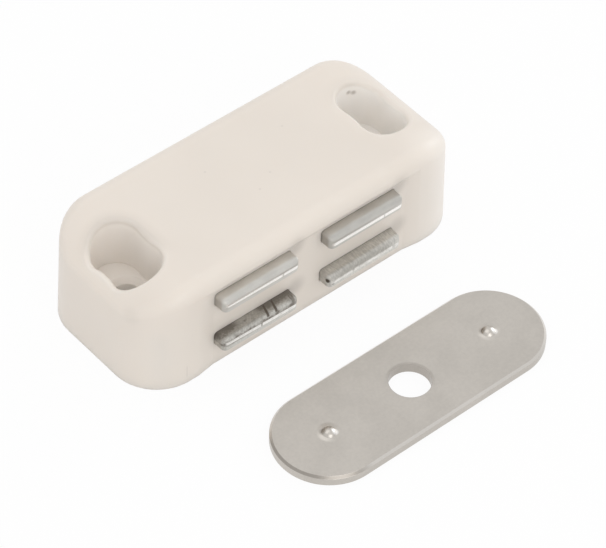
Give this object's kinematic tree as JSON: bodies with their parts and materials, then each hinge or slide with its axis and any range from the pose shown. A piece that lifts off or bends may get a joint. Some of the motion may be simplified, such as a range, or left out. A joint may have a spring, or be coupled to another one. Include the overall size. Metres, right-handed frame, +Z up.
{
  "type": "magnetic cupboard catch",
  "caption": "Magnetic cupboard catch: moulded housing with deep screw wells, steel pole plates on floating magnets, and a separate oblong strike plate.",
  "frame": {"origin": "centre of the housing's underside, which meets the cupboard", "axes": "+X along the housing, -Y out of the front where the pole plates stand out, +Z up from the mounting face"},
  "size_m": [0.05, 0.0455, 0.0149],
  "materials": {
    "housing_plastic": "fine satin moulding, cream white",
    "upper_pole_steel": "bright plated sheet",
    "lower_pole_steel": "dull plated sheet with dark streaks",
    "ferrite": "dark fired block",
    "strike_steel": "satin plated sheet, faint mottling"
  },
  "bodies": {
    "base": {"housing": "housing_plastic", "strike_plate": "strike_steel"},
    "left_pack": {"left_upper_pole_plate": "upper_pole_steel", "left_lower_pole_plate": "lower_pole_steel", "left_magnet": "ferrite"},
    "right_pack": {"right_upper_pole_plate": "upper_pole_steel", "right_lower_pole_plate": "lower_pole_steel", "right_magnet": "ferrite"}
  },
  "joints": [
    {"name": "left_pack_float", "type": "slide", "parent": "base", "child": "left_pack", "axis": [0, 1, 0], "range_m": [-0.0005, 0.0005]},
    {"name": "right_pack_float", "type": "slide", "parent": "base", "child": "right_pack", "axis": [0, 1, 0], "range_m": [-0.0005, 0.0005]}
  ]
}
